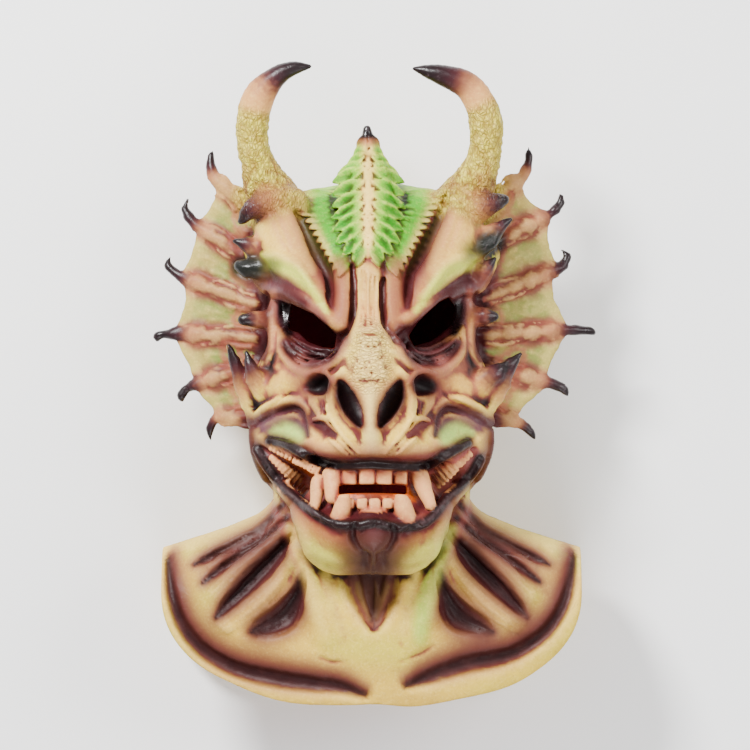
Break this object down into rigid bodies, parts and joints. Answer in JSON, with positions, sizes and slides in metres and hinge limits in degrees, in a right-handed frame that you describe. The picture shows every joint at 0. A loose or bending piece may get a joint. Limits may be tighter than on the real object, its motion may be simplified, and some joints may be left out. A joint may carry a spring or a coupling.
{
  "type": "foam dragon mask",
  "caption": "Over-the-head dragon mask cast in foam latex, with horns, ribbed ear fans, spikes, an open fanged mouth, eye holes and a shoulder bib.",
  "frame": {"origin": "middle of the mask's outline seen from the front, at the level of the floor it lies on", "axes": "+X across the face to the right in the picture, +Y from the bib's hem to the horns, +Z out of the face"},
  "size_m": [0.4034, 0.5798, 0.2669],
  "materials": {
    "foam_latex": "cream and green paint with dark maroon recesses, semi-gloss"
  },
  "bodies": {
    "root": {"mask": "foam_latex"}
  },
  "joints": []
}
